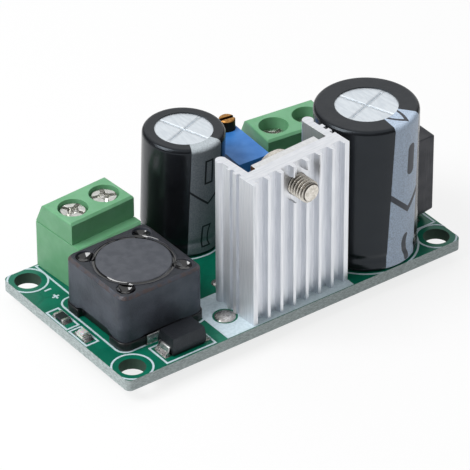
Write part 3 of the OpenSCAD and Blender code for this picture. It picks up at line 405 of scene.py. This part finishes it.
# %% The regulator's tab
tab = Finish("tinned_copper", paint(222, 220, 214), 0.36, 1.0)
cut_end = tab.ramp(tab.math("ABSOLUTE", tab.facing(0)), 0.7, 0.9)
tinned = tab.drift(paint(224, 225, 226), paint(236, 237, 238), 3, stretch=(1, 1, 0.1))
tab.set("Base Color", tab.mix(cut_end, tinned, paint(150, 106, 78)))
tab.set("Normal", tab.relief(tab.grain(5, 3, (1, 1, 0.15)), 0.015))
keep(tab)

# %% [markdown]
# ## Cans of the capacitors
# A can is drawn from aluminium sheet, and a cross is stamped into its top so that it can vent. The
# stamp presses the sheet down along each line, so one side of the line catches light and the other
# loses it. A wide shallow groove in the relief does that. It is measured from the middle of each
# can's top, and one can leans a little, so its top has moved.

# %% Where the tops of the cans are
LEAN = (1.7, -36)


def tilted(lean):
    """The axes of a can that leans by the first angle towards the second, in degrees."""
    turn = Matrix.Rotation(math.radians(lean[1]), 3, "Z")
    return turn @ Matrix.Rotation(math.radians(lean[0]), 3, "Y") @ turn.transposed()


large_top = middle_mm("input_capacitor_can")
small_top = middle_mm("output_capacitor_can")
half_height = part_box("output_capacitor_can")[1].z / MM - small_top.z
small_top += tilted(LEAN).col[2] * half_height
print("the tops are", round(large_top.x - small_top.x, 2), "mm apart along X")

# %% Drawn aluminium with a stamped cross
SCORE_TURN = math.radians(20)
SCORE_FLAT, SCORE_HALF, SCORE_DEPTH = 0.03, 0.34, 0.1
can = Finish("can_aluminium", paint(222, 228, 232), 0.42, 1.0)
spot = can.parts(can.point)
is_large = can.math("GREATER_THAN", spot[0], (small_top.x + large_top.x) / 2)
away = []
for i in (0, 1):
    middle = can.math("MULTIPLY_ADD", is_large, large_top[i] - small_top[i], small_top[i])
    away.append(can.minus(spot[i], middle))
cross = []
for turn in (SCORE_TURN, SCORE_TURN + math.pi / 2):
    aside = can.plus(can.times(away[0], math.cos(turn)), can.times(away[1], math.sin(turn)))
    cross.append(can.math("ABSOLUTE", aside))
score = can.ramp(can.math("MINIMUM", *cross), SCORE_FLAT, SCORE_HALF)
can.set("Base Color", can.drift(paint(224, 231, 237), paint(236, 242, 247), 3, 4, (1, 0.2, 1)))
can.set("Roughness", can.ramp(can.grain(2, 3), 0.3, 0.7, 0.6, 0.5))
can.set("Normal", can.relief(can.grain(6, 3, (1, 0.15, 1)), 0.012, can.relief(score, SCORE_DEPTH)))
keep(can)

# %% [markdown]
# ## Printed sleeves of the capacitors
# Each sleeve is black film shrunk over the can, with a pale stripe that marks the minus lead and
# dark shapes printed in it. A texture image isn't needed: the stripe is a range of angles round
# the can, and a shape in it is a range of arc length and depth below the rim. All are measured in
# the can's own frame, because one can leans a little, and the angle is counted from the stripe,
# which twists a little on its way down.

# %% Coordinates of a sleeve
BLACK = (0.0, 0.0, 0.0, 1.0)
FILM_ROUGHNESS, INK_ROUGHNESS = 0.24, 0.42
RIM_DEPTH = 0.45


class Sleeve(Finish):
    """Black shrink film with a printed stripe, measured along its arc and down from its rim."""

    def __init__(self, name, node, radius, length, stripe_turn, twist, stripe_half, stripe_colour,
                 lean=(0, 0)):
        # the film's reflections carry the painted cool sheen
        super().__init__(name, paint(24, 25, 29), FILM_ROUGHNESS,
                         Specular_IOR_Level=0.42, Specular_Tint=PAINTED_COOL_SHEEN)
        axes = tilted(lean)
        away = self.vector("SUBTRACT", self.point, tuple(middle_mm(node)))
        across, along, height = (self.vector("DOT_PRODUCT", away, tuple(axes.col[i])) for i in range(3))
        self.down = self.minus(length / 2, height)
        c, s = math.cos(math.radians(stripe_turn)), math.sin(math.radians(stripe_turn))
        forward = self.plus(self.times(across, c), self.times(along, s))
        side = self.minus(self.times(along, c), self.times(across, s))
        angle = self.plus(self.math("ARCTAN2", side, forward), self.times(self.down, math.radians(-twist)))
        self.arc = self.times(angle, radius)
        self.reach = self.hypotenuse(forward, side)
        self.stripe = self.inside(angle, 0.0, math.radians(stripe_half), 0.008)
        self.film = self.drift(paint(18, 19, 22), paint(24, 25, 28), 0.4, 2)
        self.stripe_colour = stripe_colour
        self.marks = 0.0

    def hypotenuse(self, a, b):
        return self.math("SQRT", self.plus(self.times(a, a), self.times(b, b)))

    def inside(self, value, centre, half, soft=0.04):
        """1 where value is within half of centre."""
        off = self.math("ABSOLUTE", self.minus(value, centre))
        return self.ramp(self.minus(off, half), -soft, soft, 1.0, 0.0)

    def print_mark(self, mask):
        self.marks = self.math("MAXIMUM", self.marks, mask)

    def block(self, top, foot, half, arc):
        """1 in a rectangle of the stripe."""
        across = self.inside(arc, 0.0, half)
        return self.times(across, self.inside(self.down, (top + foot) / 2, (foot - top) / 2))

    def frame_mark(self, top, foot, half, line, aside=0.0, bend=0.0, waist=0.0):
        """An outlined rectangle, bent sideways and drawn in at its waist."""
        share = self.times(self.minus(self.down, (top + foot) / 2), 2 / (foot - top))
        bulge = self.minus(1.0, self.times(share, share))
        arc = self.minus(self.minus(self.arc, aside), self.times(bulge, bend))
        outer = self.minus(half, self.times(bulge, waist))
        inner = self.block(top + line, foot - line, self.minus(outer, line), arc)
        self.print_mark(self.minus(self.block(top, foot, outer, arc), inner))

    def round_bar(self, top, foot, half, aside, sway=0.0, period=1.0):
        """A bar with round ends, which may sway from side to side."""
        phase = self.times(self.minus(self.down, top), 2 * math.pi / period)
        arc = self.minus(self.minus(self.arc, aside), self.times(self.math("SINE", phase), sway))
        off = self.math("ABSOLUTE", self.minus(self.down, (top + foot) / 2))
        beyond = self.math("MAXIMUM", self.minus(off, (foot - top) / 2 - half), 0.0)
        self.print_mark(self.inside(self.hypotenuse(arc, beyond), 0.0, half))

    def chevron(self, tip, slope, line, aside):
        """A V across the stripe, with its tip that far down."""
        off = self.math("ABSOLUTE", self.minus(self.arc, aside))
        self.print_mark(self.inside(self.plus(self.down, self.times(off, slope)), tip, line / 2))

    def rim_chevron(self, tip, slope, line):
        """A V on the rim that points outwards."""
        level = self.plus(self.reach, self.times(self.math("ABSOLUTE", self.arc), slope))
        on_rim = self.math("LESS_THAN", self.down, RIM_DEPTH)
        self.print_mark(self.times(on_rim, self.inside(level, tip, line / 2)))

    def finish(self, mark_colour, painted_rim_highlight=None):
        """Puts film, stripe, speckle and marks together, with the stripe painted paler on the rim if
        asked, as a painted highlight where the rim faces the light.
        """
        on_rim = self.ramp(self.down, 0.1, 0.7, 1.0, 0.0)
        # the stripe's paler colour on the rim is a painted highlight
        pale = self.mix(on_rim, self.stripe_colour, painted_rim_highlight or self.stripe_colour)
        pale = self.mix(self.ramp(self.grain(6, 4), 0.38, 0.6, 0.26, 0.0), pale, BLACK)
        pale = self.mix(self.marks, pale, mark_colour)
        self.set("Base Color", self.mix(self.stripe, self.film, pale))
        self.set("Roughness", self.ramp(self.stripe, 0, 1, FILM_ROUGHNESS, INK_ROUGHNESS))
        self.set("Normal", self.relief(self.grain(0.8, 2), 0.03, self.relief(self.stripe, 0.01)))
        keep(self)


# %% The two sleeves
small_sleeve = Sleeve("black_sleeve.output", "output_capacitor_sleeve", radius=5.4, length=16.25,
                      stripe_turn=-89.3, twist=-0.15, stripe_half=25.4,
                      stripe_colour=paint(138, 146, 153), lean=LEAN)
small_sleeve.frame_mark(top=1.95, foot=5.55, half=0.66, line=0.26, aside=0.2)
small_sleeve.chevron(tip=8.6, slope=0.85, line=0.36, aside=0.2)
small_sleeve.frame_mark(top=11.85, foot=15.25, half=0.72, line=0.24, aside=0.2, bend=-0.3, waist=0.16)
# the small sleeve's stripe gets a painted highlight on its rim
small_sleeve.finish(paint(22, 23, 26), painted_rim_highlight=paint(190, 199, 204))

large_sleeve = Sleeve("black_sleeve.input", "input_capacitor_sleeve", radius=6.825, length=21.2,
                      stripe_turn=-73.2, twist=-0.42, stripe_half=21.6,
                      stripe_colour=paint(192, 209, 230))
large_sleeve.round_bar(top=3.5, foot=8.0, half=0.7, aside=0.62)
large_sleeve.chevron(tip=13.13, slope=0.91, line=0.93, aside=0.45)
large_sleeve.round_bar(top=16.7, foot=20.95, half=0.42, aside=0.42, sway=-0.38, period=5.5)
large_sleeve.rim_chevron(tip=6.2, slope=1.17, line=0.75)
large_sleeve.finish(paint(58, 59, 66))

# %% [markdown]
# ## Softened edges
# CAD edges are perfectly sharp, and real ones never are: a moulded, cast or extruded edge catches a
# thin line of light. A bevel modifier on the CAD mesh would meet its many thin triangles, so each
# piece is copied, its triangles are merged back into flat faces, and then its edges are bevelled.
# Normals weighted by face area keep the flats flat. The copy stands for the CAD piece, so it takes
# that piece's material slot from the record.

# %% Which finish each piece has
slot_of = {part["node"]: part["material_slot"] for part in frame["record"]["subparts"]}
print(len(set(slot_of.values())), "finishes in the record")

# %% Soft copies of CAD pieces
WELD = 1e-7
FLAT = math.radians(1)
EDGE_ANGLE = math.radians(28)
SHARP_ANGLE = math.radians(50)
EDGE_ROUNDS = 2


def rounded(piece, edge_mm):
    """A CAD piece's mesh with its sharp edges rounded by edge_mm, still open for work."""
    work = bmesh.new()
    work.from_mesh(nodes[piece].data)
    bmesh.ops.remove_doubles(work, verts=work.verts, dist=WELD)
    bmesh.ops.dissolve_limit(work, angle_limit=FLAT, verts=work.verts, edges=work.edges)
    edges = [e for e in work.edges if len(e.link_faces) == 2 and e.calc_face_angle(0) > EDGE_ANGLE]
    bmesh.ops.bevel(work, geom=edges, offset=edge_mm * MM, offset_type="OFFSET", segments=EDGE_ROUNDS,
                    profile=0.5, affect="EDGES", clamp_overlap=True)
    return work


def stand_for(piece, work):
    """An object of this worked mesh that rides with a CAD piece and is shown in its place."""
    mesh = bpy.data.meshes.new(piece + ".soft")
    work.to_mesh(mesh)
    work.free()
    mesh.polygons.foreach_set("use_smooth", [True] * len(mesh.polygons))
    mesh.set_sharp_from_angle(angle=SHARP_ANGLE)
    copy = bpy.data.objects.new(piece + ".soft", mesh)
    bpy.context.scene.collection.objects.link(copy)
    copy.modifiers.new("weigh", "WEIGHTED_NORMAL").keep_sharp = True
    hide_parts(piece)
    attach(copy, body_of[piece])
    return copy


# %% Soften the pieces whose edges show
soft_edges = {
    "output_terminal_housing": 0.3, "input_terminal_housing": 0.3,
    "output_terminal_frames": 0.08, "input_terminal_frames": 0.08,
    "inductor_shield": 0.16, "inductor_base": 0.12, "inductor_clips": 0.06, "inductor_core": 0.2,
    "diode_case": 0.12, "diode_leads": 0.05, "resistor_body": 0.04, "resistor_ends": 0.05,
    "lamp_base": 0.04, "lamp_lens": 0.08, "lamp_ends": 0.04,
    "heat_sink": 0.05, "regulator_tab": 0.08, "regulator_case": 0.12, "regulator_leads": 0.06,
    "bridge_case": 0.16, "trimmer_case": 0.14, "trimmer_screw": 0.1, "board_pads": 0.03}
for block in ("output", "input"):
    for side in ("left", "right"):
        soft_edges[f"{block}_clamp_screw_{side}"] = 0.09
        soft_edges[f"{block}_clamp_plate_{side}"] = 0.06
shown = dict(nodes)
for piece, edge in soft_edges.items():
    shown[piece] = stand_for(piece, rounded(piece, edge))
print("softened", len(soft_edges), "pieces")

# %% [markdown]
# ## The thread of the regulator's screw
# The CAD model draws every thread as a plain cylinder. This one shows its turns against the bright
# fins, so it gets a real helix: rings of points whose radius rises and falls as the thread passes.
# The plain shank is drawn in under it and the head stays as the CAD model has it.

# %% The thread's profile
THREAD_START, SCREW_TIP = 1.85, 6.0
FLANK_RISE, ROOT_SHARE = 2.4, 0.9
TIP_RADIUS, TIP_TAPER = 1.12, 1.1


def thread_radius(turn, along):
    """The thread's radius at a share of a turn round it and a length along it."""
    phase = (along / THREAD_PITCH - turn) % 1.0
    flank = min(1.0, max(0.0, FLANK_RISE * (1 - abs(2 * phase - 1)) - ROOT_SHARE))
    radius = ROOT + (CREST - ROOT) * flank
    return min(radius, TIP_RADIUS + TIP_TAPER * (SCREW_TIP - along))


print("thread of", round((SCREW_TIP - THREAD_START) / THREAD_PITCH, 1), "turns")

# %% A helix round the plain shank
AROUND, RINGS_PER_TURN = 48, 12
HEAD_EDGE, HEAD_SEAT = 0.12, 0.05
SHANK_SHARE, SHANK_SHORT = 0.7, 0.3


def threaded_screw(piece):
    """The CAD screw with its shank drawn in and a helix of rings round it."""
    work = rounded(piece, HEAD_EDGE)
    for corner in work.verts:
        away = corner.co / MM - SCREW_SEAT
        along = away.dot(SCREW_WAY)
        if along > HEAD_SEAT:
            radial = (away - SCREW_WAY * along) * SHANK_SHARE
            corner.co = (SCREW_SEAT + SCREW_WAY * min(along, SCREW_TIP - SHANK_SHORT) + radial) * MM
    up = Vector((0, 0, 1))
    side = SCREW_WAY.cross(up)
    steps = int((SCREW_TIP - THREAD_START) / THREAD_PITCH * RINGS_PER_TURN)
    rings = []
    for i in range(steps + 1):
        along = THREAD_START + (SCREW_TIP - THREAD_START) * i / steps
        ring = []
        for k in range(AROUND):
            a = 2 * math.pi * k / AROUND
            outwards = (up * math.sin(a) + side * math.cos(a)) * thread_radius(k / AROUND, along)
            ring.append(work.verts.new((SCREW_SEAT + SCREW_WAY * along + outwards) * MM))
        rings.append(ring)
    for near, far in zip(rings, rings[1:]):
        for k in range(AROUND):
            m = (k + 1) % AROUND
            work.faces.new((near[k], near[m], far[m], far[k]))
    work.faces.new(rings[-1])
    bmesh.ops.recalc_face_normals(work, faces=work.faces)
    return stand_for(piece, work)


shown["regulator_screw"] = threaded_screw("regulator_screw")
print("the screw has", len(shown["regulator_screw"].data.polygons), "faces")

# %% [markdown]
# ## Glue in the coil
# Black glue fills the four wells and the gap round the core. It set with a hollow surface, and each
# hollow mirrors the lamps as a bright crescent. The wells are bowls that grow deeper towards their
# middle, and the gap is a shallow gutter that runs all the way round. Both are built from rings of
# points, because a bowl's depth is then one short formula.

# %% Rings of points
COIL_MIDDLE = middle_mm("inductor_core")
COIL_MIDDLE.z = 0
COIL_TURN = math.radians(0.8)
SHIELD_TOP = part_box("inductor_shield")[1].z / MM


def circle_points(middle, radius, count):
    """Points on a level circle at height 0."""
    turns = [2 * math.pi * k / count for k in range(count)]
    return [Vector((middle.x + radius * math.cos(a), middle.y + radius * math.sin(a), 0)) for a in turns]


def join_rings(work, rows, hub=None):
    """Joins rings of points, and closes the first one round a hub."""
    rings = [[work.verts.new(point * MM) for point in row] for row in rows]
    count = len(rings[0])
    for near, far in zip(rings, rings[1:]):
        for k in range(count):
            m = (k + 1) % count
            work.faces.new((near[k], far[k], far[m], near[m]))
    if hub is not None:
        middle = work.verts.new(hub * MM)
        for k in range(count):
            work.faces.new((middle, rings[0][k], rings[0][(k + 1) % count]))


print("the shield's top is", round(SHIELD_TOP, 2), "mm up")

# %% A bowl in each well
WELL_OFFSET, WELL_RADIUS, WELL_LEVEL = 4.4, 1.19, SHIELD_TOP - 0.21
WELL_SAG, WELL_CLIMB = 0.52, 0.2
WELL_POINTS, HOLLOW_RINGS = 48, 8


def well_bowl(work, turn):
    """A bowl of glue that climbs towards the core."""
    reach = WELL_OFFSET * math.sqrt(2)
    hub = COIL_MIDDLE + Vector((math.cos(turn), math.sin(turn), 0)) * reach
    rows = []
    for i in range(1, HOLLOW_RINGS + 1):
        share = i / HOLLOW_RINGS
        row = circle_points(hub, WELL_RADIUS * share, WELL_POINTS)
        for point in row:
            climb = WELL_CLIMB * (point - hub).dot(COIL_MIDDLE - hub) / (reach * WELL_RADIUS)
            point.z = WELL_LEVEL + climb - WELL_SAG * (1 - share ** 2)
        rows.append(row)
    join_rings(work, rows, Vector((hub.x, hub.y, WELL_LEVEL - WELL_SAG)))


# %% A gutter round the core
GUTTER_IN, GUTTER_OUT, GUTTER_LEVEL, GUTTER_SAG = 4.8, 5.5, SHIELD_TOP + 0.01, 0.2
GUTTER_POINTS, GUTTER_RISE = 144, 0.03
SMEAR, BLOTS_PER_MM = 0.16, 0.9


def gutter(work):
    """A shallow channel of glue whose outer edge is smeared a little unevenly."""
    rows = []
    for i in range(HOLLOW_RINGS + 1):
        share = i / HOLLOW_RINGS
        row = circle_points(COIL_MIDDLE, GUTTER_IN + (GUTTER_OUT - GUTTER_IN) * share, GUTTER_POINTS)
        for point in row:
            blot = noise.noise(point * BLOTS_PER_MM)
            point += (point - COIL_MIDDLE).normalized() * SMEAR * blot * share
            point.z = GUTTER_LEVEL + GUTTER_RISE * (blot + share) - GUTTER_SAG * (1 - (2 * share - 1) ** 2)
        rows.append(row)
    join_rings(work, rows)


def hollow_glue(piece):
    """The glue's visible surface, facing up."""
    work = bmesh.new()
    for k in range(4):
        well_bowl(work, COIL_TURN + math.radians(45 + 90 * k))
    gutter(work)
    bmesh.ops.recalc_face_normals(work, faces=work.faces)
    for face in work.faces:
        if face.normal.z < 0:
            face.normal_flip()
    return stand_for(piece, work)


shown["inductor_glue"] = hollow_glue("inductor_glue")
print("the glue has", len(shown["inductor_glue"].data.polygons), "faces")

# %% [markdown]
# ## The trimmer's slot
# The CAD model leaves the slot of the trimmer's screw square to the case. On the real part it points
# wherever the last turn left it, so the copy is turned about the screw's own axis.

# %% Turn the slot
TRIMMER_AXIS = Vector((8.39, 12.815, 0)) * MM
SLOT_TURN = -45.6
to_axis = Matrix.Translation(TRIMMER_AXIS)
slot_turn = Matrix.Rotation(math.radians(SLOT_TURN), 4, "Z")
shown["trimmer_screw"].data.transform(to_axis @ slot_turn @ to_axis.inverted())
print("the slot is turned by", SLOT_TURN, "degrees")

# %% [markdown]
# ## Putting the finishes on
# The record names a material slot for every CAD piece, so one loop can dress them all. Only the two
# sleeves differ, because each has its own print.

# %% Dress every piece
own_finish = {f"{block}_capacitor_sleeve": f"black_sleeve.{block}" for block in ("output", "input")}
for piece, thing in shown.items():
    thing.data.materials.clear()
    thing.data.materials.append(finishes[own_finish.get(piece, slot_of[piece])])
print("dressed", len(shown), "pieces in", len(finishes), "finishes")

# %% [markdown]
# ## The set
# The photograph was taken on white with soft light and hardly a shadow. The floor is a white sheet
# that the lamps light, and camera, mirror and glass rays see it a little brighter, as plain white,
# so the object is never overlit to whiten its background. The sky is a plain weak light.

# %% What the camera and mirrors see
def seen_directly(tree):
    """1 for camera, mirror and glass rays, 0 for light that bounces."""
    path = tree.nodes.new("ShaderNodeLightPath")
    seen = path.outputs["Is Camera Ray"]
    for ray in ("Is Glossy Ray", "Is Transmission Ray"):
        either = tree.nodes.new("ShaderNodeMath")
        either.operation = "MAXIMUM"
        tree.links.new(seen, either.inputs[0])
        tree.links.new(path.outputs[ray], either.inputs[1])
        seen = either.outputs[0]
    return seen


# %% Floor
FLOOR_SIZE = 4.0
BOUNCE_TONE, SEEN_TONE = 0.6, 0.9
PAPER_ROUGHNESS, GLOW_SHARE = 0.9, 0.8


def white_paper():
    """A matt white that glows only for rays that see it directly."""
    material = bpy.data.materials.new("white_floor")
    material.use_nodes = True
    material.cycles.emission_sampling = "NONE"
    tree = material.node_tree
    matt = tree.nodes["Principled BSDF"]
    matt.inputs["Roughness"].default_value = PAPER_ROUGHNESS
    matt.inputs["Specular IOR Level"].default_value = 0.0
    tone = tree.nodes.new("ShaderNodeMapRange")
    tone.inputs["To Min"].default_value = BOUNCE_TONE
    tone.inputs["To Max"].default_value = SEEN_TONE
    tree.links.new(seen_directly(tree), tone.inputs["Value"])
    tree.links.new(tone.outputs[0], matt.inputs["Base Color"])
    glow = tree.nodes.new("ShaderNodeEmission")
    glow.inputs["Strength"].default_value = 1.0
    share = tree.nodes.new("ShaderNodeMath")
    share.operation = "MULTIPLY"
    share.inputs[1].default_value = GLOW_SHARE
    tree.links.new(seen_directly(tree), share.inputs[0])
    blend = tree.nodes.new("ShaderNodeMixShader")
    tree.links.new(share.outputs[0], blend.inputs[0])
    tree.links.new(matt.outputs[0], blend.inputs[1])
    tree.links.new(glow.outputs[0], blend.inputs[2])
    tree.links.new(blend.outputs[0], tree.nodes["Material Output"].inputs["Surface"])
    return material


def white_floor():
    """A flat sheet under the lead ends."""
    sheet = bpy.data.meshes.new("floor")
    half, height = FLOOR_SIZE / 2, cad_box[0].z
    corners = [(x * half, y * half, height) for x, y in ((-1, -1), (1, -1), (1, 1), (-1, 1))]
    sheet.from_pydata(corners, [], [(0, 1, 2, 3)])
    sheet.materials.append(white_paper())
    floor = bpy.data.objects.new("floor", sheet)
    bpy.context.scene.collection.objects.link(floor)


white_floor()
print("floor", FLOOR_SIZE, "m wide")

# %% Sky
SKY_STRENGTH = 0.16
sky = bpy.data.worlds.new("sky")
bpy.context.scene.world = sky
sky.use_nodes = True
sky.cycles.sampling_method = "NONE"
sky_light = sky.node_tree.nodes["Background"]
sky_light.inputs["Color"].default_value = (1, 1, 1, 1)
sky_light.inputs["Strength"].default_value = SKY_STRENGTH
print("sky strength", SKY_STRENGTH)

# %% [markdown]
# ## Lamps
# Four square softboxes stand round the part. The key stands on the left, the top lamp is large and
# high, the back lamp is the one that the flat tops mirror towards the camera, and the fill lifts
# the right sides. Directions are given as the angle round from the front and the angle up.

# %% Softboxes
def softbox(name, azimuth, elevation, distance, size, watts):
    """A square lamp at that direction and distance from the part, aimed at it."""
    lamp = bpy.data.lights.new(name, "AREA")
    lamp.size = size
    lamp.energy = watts
    thing = bpy.data.objects.new(name, lamp)
    bpy.context.scene.collection.objects.link(thing)
    a, e = math.radians(azimuth), math.radians(elevation)
    away = Vector((math.sin(a) * math.cos(e), -math.cos(a) * math.cos(e), math.sin(e)))
    thing.location = away * distance
    thing.rotation_mode = "QUATERNION"
    thing.rotation_quaternion = away.to_track_quat("Z", "Y")


softbox("key", azimuth=-105, elevation=50, distance=0.5, size=0.3, watts=2.1)
softbox("top", azimuth=10, elevation=80, distance=0.8, size=1.0, watts=2.05)
softbox("back", azimuth=144, elevation=36, distance=0.8, size=0.9, watts=1.9)
softbox("fill", azimuth=55, elevation=30, distance=0.7, size=0.4, watts=0.15)
print("four lamps")

# %% [markdown]
# ## The camera
# The photograph was taken with a long lens, so the lines hardly converge. The numbers come from
# matching the board's corners and the pieces' edges: how many pixels of the 470 wide picture the
# focal length is, the direction of view, and the distance to a point in the middle of the part.

# %% Camera
PHOTO_WIDTH = 470
FOCAL_PIXELS = 4245.5
SENSOR = 36
VIEW = (36.18, 34.35, -0.21)
AIM = Vector((-0.5, 0, 6.6)) * MM
SHIFT_RIGHT, SHIFT_UP, DISTANCE = -0.61 * MM, 0.94 * MM, 545.8 * MM

azimuth, elevation, roll = (math.radians(v) for v in VIEW)
level_share = math.cos(elevation)
forward = Vector((math.sin(azimuth) * level_share, math.cos(azimuth) * level_share, -math.sin(elevation)))
level = Vector((math.cos(azimuth), -math.sin(azimuth), 0))
above = level.cross(forward)
right = math.cos(roll) * level + math.sin(roll) * above
up = math.cos(roll) * above - math.sin(roll) * level
stand = AIM - right * SHIFT_RIGHT - up * SHIFT_UP - forward * DISTANCE

lens = bpy.data.cameras.new("camera")
lens.sensor_width = SENSOR
lens.lens = FOCAL_PIXELS / PHOTO_WIDTH * SENSOR
lens.clip_start = 0.01
lens.clip_end = 20
camera = bpy.data.objects.new("camera", lens)
bpy.context.scene.collection.objects.link(camera)
camera.matrix_world = Matrix.Translation(stand) @ Matrix((right, up, -forward)).transposed().to_4x4()
bpy.context.scene.camera = camera
bpy.context.scene.view_settings.view_transform = "Standard"
print("lens", round(lens.lens, 1), "mm, camera at", [round(v, 3) for v in stand])
